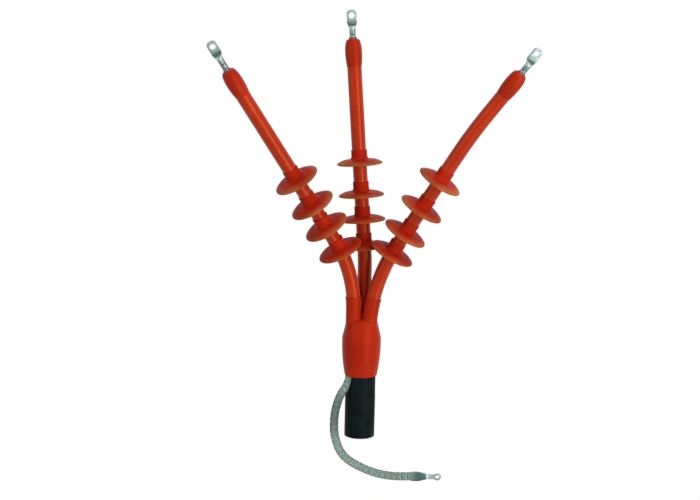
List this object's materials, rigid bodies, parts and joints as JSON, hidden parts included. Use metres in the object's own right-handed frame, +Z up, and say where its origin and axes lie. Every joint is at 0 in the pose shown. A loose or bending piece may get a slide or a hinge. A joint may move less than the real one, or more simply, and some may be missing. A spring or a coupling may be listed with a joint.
{
  "type": "cable termination",
  "caption": "Heat-shrink cable termination with a breakout boot, bent legs carrying rain sheds and tubular lugs, and a flat earth braid with a ring lug.",
  "frame": {"origin": "centre of the cable's cut lower end", "axes": "+Z up along the cable, +X to the right seen from the front, +Y to the back"},
  "size_m": [0.7117, 0.2502, 1.0656],
  "materials": {
    "red_polymer": "semi-gloss heat-shrink polymer",
    "black_sheath": "satin",
    "filler": "matt",
    "mastic": "tacky mastic",
    "insulation": "smooth",
    "semiconductor": "matt",
    "copper": "bare copper",
    "tinned": "electro-tinned copper",
    "braid": "woven tinned copper wire",
    "steel": "spring steel"
  },
  "bodies": {
    "root": {"outer_sheath": "black_sheath", "core_filler": "filler", "breakout_boot": "red_polymer", "crotch_mastic": "mastic", "sheath_mastic": "mastic", "roll_spring": "steel", "earth_braid_tail": "braid", "earth_braid": "braid", "earth_lug": "tinned", "left_conductor": "copper", "left_insulation": "insulation", "left_insulation_screen": "semiconductor", "left_copper_screen": "copper", "left_stress_mastic": "mastic", "left_stress_control_tube": "semiconductor", "left_anti_tracking_tube": "red_polymer", "left_shed_1": "red_polymer", "left_shed_2": "red_polymer", "left_shed_3": "red_polymer", "left_shed_4": "red_polymer", "left_lug_sleeve": "red_polymer", "left_lug_seal": "mastic", "left_lug": "tinned", "middle_conductor": "copper", "middle_insulation": "insulation", "middle_insulation_screen": "semiconductor", "middle_copper_screen": "copper", "middle_stress_mastic": "mastic", "middle_stress_control_tube": "semiconductor", "middle_anti_tracking_tube": "red_polymer", "middle_shed_1": "red_polymer", "middle_shed_2": "red_polymer", "middle_shed_3": "red_polymer", "middle_shed_4": "red_polymer", "middle_lug_sleeve": "red_polymer", "middle_lug_seal": "mastic", "middle_lug": "tinned", "right_conductor": "copper", "right_insulation": "insulation", "right_insulation_screen": "semiconductor", "right_copper_screen": "copper", "right_stress_mastic": "mastic", "right_stress_control_tube": "semiconductor", "right_anti_tracking_tube": "red_polymer", "right_shed_1": "red_polymer", "right_shed_2": "red_polymer", "right_shed_3": "red_polymer", "right_shed_4": "red_polymer", "right_lug_sleeve": "red_polymer", "right_lug_seal": "mastic", "right_lug": "tinned"}
  },
  "joints": []
}
